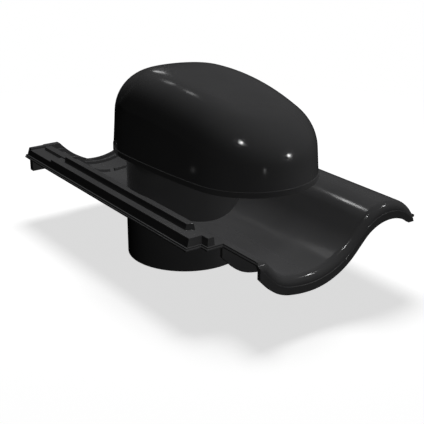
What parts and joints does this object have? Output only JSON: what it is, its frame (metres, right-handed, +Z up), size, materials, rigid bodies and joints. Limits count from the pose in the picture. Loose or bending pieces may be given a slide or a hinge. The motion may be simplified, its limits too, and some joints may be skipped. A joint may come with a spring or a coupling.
{
  "type": "roof tile vent",
  "caption": "S-profile roof tile moulded with an upright duct tube, under a domed egg-shaped rain hood that leaves an air gap all round.",
  "frame": {"origin": "centre of the duct spigot's open lower end, on the tube's axis", "axes": "+Z up the tube to the hood, +Y along the tile to its head at the ridge side, -Y to the eaves, -X to the side lap and +X to the roll"},
  "size_m": [0.2261, 0.395, 0.1979],
  "materials": {
    "black_plastic": "satin black moulded plastic"
  },
  "bodies": {
    "root": {"vent_tile": "black_plastic", "hood": "black_plastic"}
  },
  "joints": []
}
